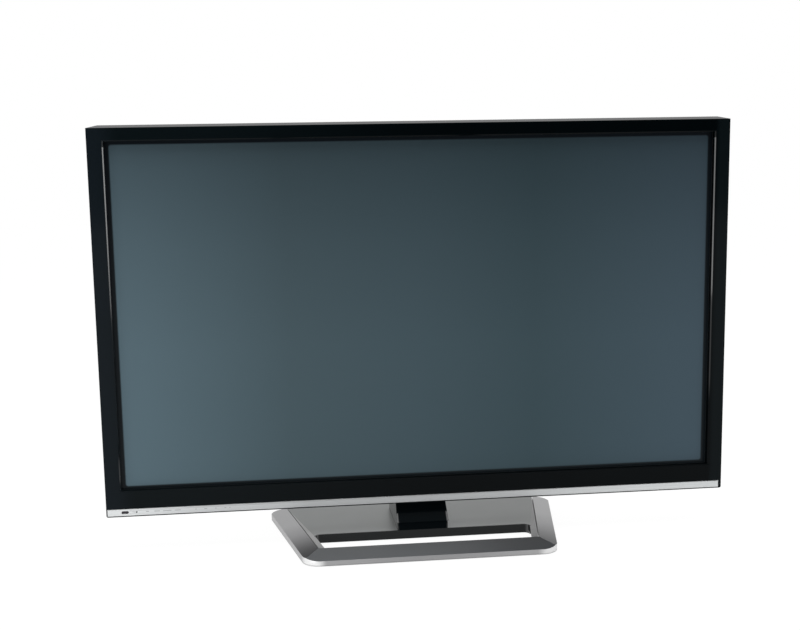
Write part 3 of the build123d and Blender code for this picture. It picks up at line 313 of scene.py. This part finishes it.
def strip_silver():
    """Brushed silver with fine grain along its length, with painted shade that darkens it near the
    middle and a painted highlight that lightens its left end.
    """
    make = new_finish("strip_silver")
    x, _, _ = make.axes()
    grain = make.noise(make.stretched(3.0, 40.0, 900.0), detail=4.0)
    cloud = make.noise(make.stretched(30.0, 1.0, 120.0), detail=3.0)
    # painted shade darkens the middle of the strip and a painted highlight lightens its left end
    middle = make.fade((x + 40 * mm).size(), 50 * mm, 520 * mm)
    left_end_highlight = make.fade(x, -560 * mm, -400 * mm)
    tone = make.blend(grain, (0.51, 0.525, 0.53, 1), (0.71, 0.73, 0.735, 1))
    tone = make.blend(middle * 0.55, tone, (0.3, 0.31, 0.315, 1))
    tone = make.blend(left_end_highlight * 0.45, tone, (0.86, 0.88, 0.885, 1))
    return make.coat(
        Base_Color=make.blend(key_marks(make) * 0.5, tone, (0.16, 0.16, 0.17, 1)),
        Metallic=0.85,
        Roughness=0.26 + grain * 0.1 + cloud * 0.08,
        Normal=make.bump(grain, 0.12, 0.0003),
    )


def screen_glass():
    """Tinted filter over the lit area, with painted light that makes it lighter at the left and bottom,
    painted shade that darkens it towards the right and top, and dark at the rim of the lit area.
    """
    make = new_finish("screen_glass")
    x, _, z = make.axes()
    height = (z - lit_low) / (lit_high - lit_low)
    # the slate tint is the glass's own; its fall from a lighter left and bottom to a darker right and
    # top is painted light and shade
    painted_light_across = [(0.0, (0.090, 0.1385, 0.166, 1)), (0.28, (0.057, 0.089, 0.105, 1)),
                     (0.5, (0.050, 0.080, 0.096, 1)), (0.7, (0.039, 0.066, 0.079, 1)),
                     (1.0, (0.052, 0.082, 0.105, 1))]
    painted_shade_upward = [(0.0, shade(1.0)), (0.4, shade(0.93)), (0.7, shade(0.76)), (0.93, shade(0.58)),
                     (1.0, shade(0.5))]
    across = make.ramp((x - lit_left) / (lit_right - lit_left), painted_light_across)
    lit = make.blend(1.0, across, make.ramp(height, painted_shade_upward), "MULTIPLY")

    # the lit area fades out towards its rim, which has rounded corners
    def past(value, low, high):
        """How far a value lies past the straight stretch between two rounded corners."""
        half_stretch = (high - low) / 2 - lit_rounding
        return ((value - (low + high) / 2).size() - half_stretch).at_least(0.0)

    outward = make.math("SQRT", past(x, lit_left, lit_right) ** 2.0 + past(z, lit_low, lit_high) ** 2.0)
    inside = make.fade(outward, lit_rounding - soft_edge, lit_rounding)
    # the dark print of the rim is painted darker towards the top as painted shade
    rim = make.blend(height.clamped(), (0.006, 0.0092, 0.0115, 1), (0.0026, 0.0045, 0.0065, 1))
    return make.coat(Base_Color=make.blend(inside, rim, lit), Roughness=0.22, Specular_IOR_Level=0.1)


# Finishes of the stand
def frame_paint():
    """Satin silver-grey metallic paint with a fine fleck, lighter on the outer rim, with painted
    highlights on the rim's front corners and painted shade near the front mitres, on the right of the
    front bar and along the middle and foot of the rim.
    """
    make = new_finish("frame_paint")
    x, y, z = make.axes()
    across, _, upward = make.facing()
    fleck = make.noise(make.place(), scale=1400.0, detail=2.0)
    cloud = make.noise(make.place(), scale=14.0, detail=3.0)
    top = make.step(upward, 0.7, 0.8)
    leaning = make.step(across, 0.05, 0.12)

    # painted shade: the side bars are painted darker towards the front mitres, and the front bar's top
    # darker towards its right
    mitre_shade = make.fade(y, stand_low.y + 25 * mm, stand_low.y + 200 * mm) * make.by_side(x, 1.0, 0.7)
    right_shade = make.step(x, -50 * mm, 210 * mm)
    tone = make.blend(fleck, (0.275, 0.275, 0.28, 1), (0.345, 0.345, 0.35, 1))
    tone = make.blend(leaning * top * mitre_shade, tone, (0.03, 0.03, 0.033, 1))
    tone = make.blend((1 - leaning) * top * right_shade * 0.85, tone, (0.13, 0.13, 0.135, 1))

    # on the rim, painted highlights whiten the front corners, and painted shade darkens its middle and
    # its foot
    rim = make.fade(upward, 0.5, 0.75)
    middle = make.fade(x.size(), 30 * mm, 200 * mm)
    corner_across = make.step(x.size(), front_half - 16 * mm, front_half + 2 * mm)
    corner_ahead = make.fade(y, stand_low.y + 10 * mm, stand_low.y + 36 * mm)
    corner_highlight = corner_across * corner_ahead * make.by_side(x, 0.9, 0.62)
    foot_shade = make.fade(z, stand_low.z, stand_low.z + 3 * mm)
    tone = make.blend(rim * 0.33, tone, (0.5, 0.5, 0.505, 1))
    tone = make.blend(rim * middle * 0.3, tone, (0.13, 0.13, 0.135, 1))
    tone = make.blend(rim * corner_highlight, tone, shade(0.92))
    tone = make.blend(rim * foot_shade * 0.5, tone, shade(0.12))
    return make.coat(Base_Color=tone, Metallic=0.8, Roughness=0.33 + fleck * 0.05 + cloud * 0.03)


def deck_paint():
    """Satin grey metallic paint of the dished deck, with painted light on its slopes and painted shade
    towards its right.
    """
    make = new_finish("deck_paint")
    x, _, _ = make.axes()
    fleck = make.noise(make.place(), scale=1100.0, detail=2.0)
    cloud = make.noise(make.place(), scale=9.0, detail=3.0)
    # painted light makes the two sloping faces lighter, the right one less; painted shade darkens the
    # deck towards its right
    slope_light = make.step(make.facing()[0], 0.06, 0.16)
    slope_light_tone = make.blend(make.by_side(x, 0.0, 1.0), shade(0.25), (0.165, 0.165, 0.167, 1))
    tone = make.blend(fleck, (0.147, 0.156, 0.154, 1), (0.19, 0.199, 0.197, 1))
    tone = make.blend(make.step(x, 0.0, 200 * mm) * 0.35, tone, (0.12, 0.125, 0.124, 1))
    return make.coat(
        Base_Color=make.blend(slope_light, tone, slope_light_tone),
        Metallic=0.6,
        Roughness=0.34 + fleck * 0.05 + cloud * 0.06,
    )


def stand_gloss():
    """Gloss black of the neck, clearer on its side faces, with painted light on the upper half of the
    shroud.
    """
    make = new_finish("stand_gloss")
    x, _, z = make.axes()
    haze = make.noise(make.place(), scale=30.0, detail=3.0)
    side = make.step(x.size(), neck_half - 3.5 * mm, neck_half - 0.5 * mm)
    # painted light lifts the black of the shroud's upper half, where shade falls under the head
    upper_light = make.step(z, (shroud_low.z + shroud_high.z) / 2, shroud_high.z)
    return make.coat(
        Base_Color=make.blend(upper_light, (0.002, 0.0034, 0.0042, 1), (0.009, 0.0125, 0.015, 1)),
        Roughness=0.07 + haze * 0.05,
        Specular_IOR_Level=0.0,
        Coat_Weight=side + 0.015,
        Coat_Roughness=0.1,
    )


def wall_gloss():
    """Gloss black of the base body, clearer where it faces sideways, as at the slot's ends."""
    make = new_finish("wall_gloss")
    haze = make.noise(make.place(), scale=30.0, detail=3.0)
    return make.coat(
        Base_Color=(0.004, 0.0055, 0.006, 1),
        Roughness=0.1 + haze * 0.05,
        Specular_IOR_Level=0.22,
        Coat_Weight=make.step(make.facing()[0], 0.3, 0.7),
        Coat_Roughness=0.08,
    )


# Finishes of the small, the inner and the rear pieces
def plain(name, colour, rough, metal=0.0):
    """A finish with a fine fleck in its colour and roughness."""
    make = new_finish(name)
    fleck = make.noise(make.place(), scale=400.0, detail=3.0)
    spread = 0.15
    dark = tuple(part * (1 - spread) for part in colour) + (1.0,)
    light = tuple(part * (1 + spread) for part in colour) + (1.0,)
    return make.coat(
        Base_Color=make.blend(fleck, dark, light),
        Metallic=metal,
        Roughness=rough + fleck * 0.08,
        Normal=make.bump(fleck, 0.08, 0.0002),
    )


def cover_paint():
    """Textured black paint of the steel back cover."""
    make = new_finish("cover_paint")
    grain = make.noise(make.place(), scale=650.0, detail=3.0, roughness=0.65)
    cloud = make.noise(make.place(), scale=5.0, detail=4.0)
    return make.coat(
        Base_Color=make.blend(grain, (0.011, 0.011, 0.0125, 1), (0.024, 0.024, 0.026, 1)),
        Roughness=0.42 + grain * 0.16 + cloud * 0.1,
        Normal=make.bump(grain, 0.35, 0.0004),
    )


wear(bezel_gloss(), "front_bezel")
wear(strip_silver(), "trim_strip")
wear(screen_glass(), "filter_glass")
wear(frame_paint(), "base_frame")
wear(deck_paint(), "base_deck")
wear(stand_gloss(), "neck_collar", "neck_shroud")
wear(wall_gloss(), "base_body")
wear(plain("sensor_tint", (0.012, 0.008, 0.014), 0.08), "sensor_window")
wear(plain("lens_clear", (0.03, 0.03, 0.035), 0.1), "light_sensor_lens")
wear(plain("foot_rubber", (0.03, 0.03, 0.03), 0.75), "rubber_feet")
slot_finishes = {
    "foam": plain("gasket_foam", (0.01, 0.01, 0.01), 0.8),
    "panel_glass": plain("panel_glass", (0.12, 0.14, 0.15), 0.12),
    "pressed_aluminium": plain("pressed_aluminium", (0.6, 0.61, 0.63), 0.38, 1.0),
    "zinc_steel": plain("zinc_steel", (0.55, 0.56, 0.57), 0.34, 1.0),
    "green_board": plain("green_board", (0.02, 0.14, 0.06), 0.4),
    "amber_film": plain("amber_film", (0.5, 0.24, 0.05), 0.35),
    "grey_sheet": plain("grey_sheet", (0.2, 0.2, 0.21), 0.7),
    "black_plastic": plain("black_plastic", (0.018, 0.018, 0.02), 0.5),
    "cover_black": cover_paint(),
    "socket_metal": plain("socket_metal", (0.7, 0.7, 0.71), 0.25, 1.0),
    "bearing_white": plain("bearing_white", (0.75, 0.75, 0.72), 0.45),
}
for part in frame["record"]["subparts"]:
    if part["material_slot"] in slot_finishes:
        wear(slot_finishes[part["material_slot"]], part["node"])


# Softened edges, which catch the light
weld_reach = 0.02 * mm
bevel_steps = 3
sharp_turn = math.radians(40)


def soften(width, *pieces):
    """Round the sharp edges of frame nodes a little."""
    for piece in pieces:
        join = nodes[piece].modifiers.new("join", "WELD")
        join.merge_threshold = weld_reach
        edge = nodes[piece].modifiers.new("edge", "BEVEL")
        edge.width = width
        edge.segments = bevel_steps
        edge.limit_method = "ANGLE"
        edge.angle_limit = sharp_turn


soften(1.4 * mm, "base_frame")
soften(0.5 * mm, "neck_shroud", "neck_collar", "trim_strip")


# Making pieces
def add_object(name, data):
    """Put a mesh, a lamp or a camera into the scene."""
    added = bpy.data.objects.new(name, data)
    scene.collection.objects.link(added)
    return added


def skin(form, loops):
    """Span each loop of corners to the next one with four-sided faces."""
    for one, two in zip(loops, loops[1:]):
        for n in range(len(one)):
            after = (n + 1) % len(one)
            form.faces.new((one[n], one[after], two[after], two[n]))


def finished_piece(name, form):
    """Turn a closed form into a piece whose faces look outwards."""
    bmesh.ops.recalc_face_normals(form, faces=form.faces)
    mesh = bpy.data.meshes.new(name)
    form.to_mesh(mesh)
    form.free()
    return add_object(name, mesh)


# Coloured rings round the audio and video sockets at the back
socket_count = 6
socket_reach = 3.0 * mm
ring_bore = 4.6 * mm
ring_edge = 6.6 * mm
ring_height = 1.6 * mm
ring_chamfer = 0.3 * mm
ring_sides = 32
socket_radius = (socket_high.z - socket_low.z) / 2
socket_pitch = (socket_high.x - socket_low.x - 2 * socket_radius) / (socket_count - 1)
socket_level = (socket_high.z + socket_low.z) / 2
ring_foot = socket_high.y - socket_reach
ring_top = ring_foot + ring_height


def ring_colours():
    """Plastic in one colour for each socket, from left to right of someone behind the set."""
    make = new_finish("ring_colours")
    x, _, _ = make.axes()
    fleck = make.noise(make.place(), scale=900.0, detail=2.0)
    red = (0.5, 0.03, 0.02, 1)
    green = (0.02, 0.35, 0.05, 1)
    blue = (0.03, 0.1, 0.5, 1)
    yellow = (0.75, 0.55, 0.03, 1)
    white = (0.7, 0.7, 0.66, 1)
    plastics = [green, blue, red, yellow, white, red]
    stops = [(n / socket_count, colour) for n, colour in enumerate(plastics)]
    colour = make.ramp((socket_high.x - x) / (socket_high.x - socket_low.x), stops, "CONSTANT")
    return make.coat(
        Base_Color=make.blend(0.15 * fleck, colour, shade(0.3)),
        Roughness=0.35 + fleck * 0.1,
    )


def socket_rings():
    """Flat rings with a chamfered outer edge, joined in one piece."""
    profile = [(ring_bore, ring_foot), (ring_edge, ring_foot), (ring_edge, ring_top - ring_chamfer),
               (ring_edge - ring_chamfer, ring_top), (ring_bore, ring_top)]
    turns = [2 * math.pi * n / ring_sides for n in range(ring_sides)]
    form = bmesh.new()
    for place in range(socket_count):
        x = socket_low.x + socket_radius + place * socket_pitch
        loops = []
        for radius, y in profile:
            points = [(x + radius * math.cos(a), y, socket_level + radius * math.sin(a)) for a in turns]
            loops.append([form.verts.new(point) for point in points])
        skin(form, loops + loops[:1])
    return finished_piece("socket_rings", form)


rings = socket_rings()
wear(ring_colours(), rings)
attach(rings, "head")


# Foam seals low in the two gaps between the base body and the side bars, dark strips that keep daylight
# out and stand in for the shade in the gaps
gap_at_centre = 222.65 * mm
gap_slant = 0.1944
seal_half = 0.68 * mm
seal_foot = 9.0 * mm
seal_shoulder = 11.0 * mm
seal_crown = 11.5 * mm
seal_front = body_low.y + 1.0 * mm
seal_back = body_high.y - 0.5 * mm


def gap_shade_seals():
    """Two strips with a rounded top, along the gaps, which lie further out towards the back."""
    profile = [(-seal_half, seal_foot), (seal_half, seal_foot), (seal_half, seal_shoulder),
               (seal_half / 2, seal_crown), (-seal_half / 2, seal_crown), (-seal_half, seal_shoulder)]
    form = bmesh.new()
    for side in (-1, 1):
        ends = []
        for y in (seal_front, seal_back):
            gap = gap_at_centre + gap_slant * y
            ends.append([form.verts.new((side * (gap + across), y, up)) for across, up in profile])
        skin(form, ends)
        for end in ends:
            form.faces.new(end)
    return finished_piece("gap_shade_seals", form)


seals = gap_shade_seals()
wear(slot_finishes["foam"], seals)
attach(seals, "stand")


# Floor, world and lights
floor_reach = 12.0
floor_white = 1.05
floor_glow = 0.9


def pale_floor():
    """A floor that looks white and keeps the object's soft shadow."""
    corners = [(x * floor_reach, y * floor_reach, 0) for x, y in ((-1, -1), (1, -1), (1, 1), (-1, 1))]
    mesh = bpy.data.meshes.new("floor")
    mesh.from_pydata(corners, [], [(0, 1, 2, 3)])
    floor = add_object("floor", mesh)
    make = new_finish("floor_white")
    matt = make.node("ShaderNodeBsdfDiffuse", sockets={"Color": shade(0.8)})
    glow = make.node("ShaderNodeEmission", sockets={"Color": shade(1.0), "Strength": floor_white})
    seen = sum(make.rays("Camera", "Glossy", "Transmission")).clamped()
    mixed = make.node("ShaderNodeMixShader", sockets={0: seen * floor_glow})
    make.tree.links.new(matt.outputs[0], mixed.inputs[1])
    make.tree.links.new(glow.outputs[0], mixed.inputs[2])
    make.surface(mixed)
    wear(make.owner, floor)


def studio_world():
    """White behind the object, dim on the camera's side."""
    scene.world = bpy.data.worlds.new("studio")
    make = Finish(scene.world)
    ahead = make.parts(make.wire("ShaderNodeTexCoord", out="Generated"))[1]
    soft_light = make.step(ahead, -0.7, 0.3, 0.35, 0.9)
    mirrored = make.step(ahead, -0.3, 0.2, 0.1, 1.0)
    camera_ray, glossy_ray = make.rays("Camera", "Glossy")
    level = glossy_ray * mirrored + (1 - glossy_ray) * soft_light
    strength = camera_ray + (1 - camera_ray) * level
    glow = make.node("ShaderNodeBackground", sockets={"Color": shade(1.0), "Strength": strength})
    output = make.node("ShaderNodeOutputWorld")
    make.tree.links.new(glow.outputs[0], output.inputs["Surface"])


def softbox(name, at, aim, width, height, power):
    """A rectangular lamp that looks from one place to another, with its power in watts."""
    data = bpy.data.lights.new(name, "AREA")
    data.shape = "RECTANGLE"
    data.size = width
    data.size_y = height
    data.energy = power
    lamp = add_object(name, data)
    lamp.location = at
    lamp.rotation_euler = (Vector(aim) - Vector(at)).to_track_quat("-Z", "Y").to_euler()


pale_floor()
studio_world()
softbox("overhead", (0, -0.6, 3.0), (0, -0.1, 0.3), 2.5, 2.0, 55)
softbox("left_panel", (-2.9, -1.37, 0.5), (0.3, -0.1, 0.5), 0.5, 0.95, 6)
softbox("right_panel", (2.9, -0.35, 0.48), (-0.5, -0.05, 0.48), 0.35, 0.95, 5)
softbox("left_low", (-2.0, -2.3, 0.5), (-0.4, -0.1, 0.05), 1.0, 0.5, 18)
softbox("right_low", (2.4, -1.9, 0.5), (0.4, -0.1, 0.05), 0.8, 0.5, 10)


# Camera at the photograph's view, with its focus and optical centre in pixels
picture_width = 800
picture_height = 630
camera_focus = 1150.1
centre_across = 379.5
centre_down = 335.6
camera_place = (-0.2961, -2.0951, 0.7040)
camera_turn = -0.1059
camera_tilt = -0.1491
camera_roll = 0.0183
view_data = bpy.data.cameras.new("camera")
view_data.sensor_width = 36.0
view_data.sensor_fit = "HORIZONTAL"
view_data.lens = view_data.sensor_width * camera_focus / picture_width
view_data.shift_x = (picture_width / 2 - centre_across) / picture_width
view_data.shift_y = (centre_down - picture_height / 2) / picture_width
camera = add_object("camera", view_data)
turned = Matrix.Rotation(camera_turn, 4, "Z") @ Matrix.Rotation(math.pi / 2 + camera_tilt, 4, "X")
camera.matrix_world = Matrix.Translation(camera_place) @ turned @ Matrix.Rotation(-camera_roll, 4, "Z")
scene.camera = camera
scene.view_settings.view_transform = "Standard"
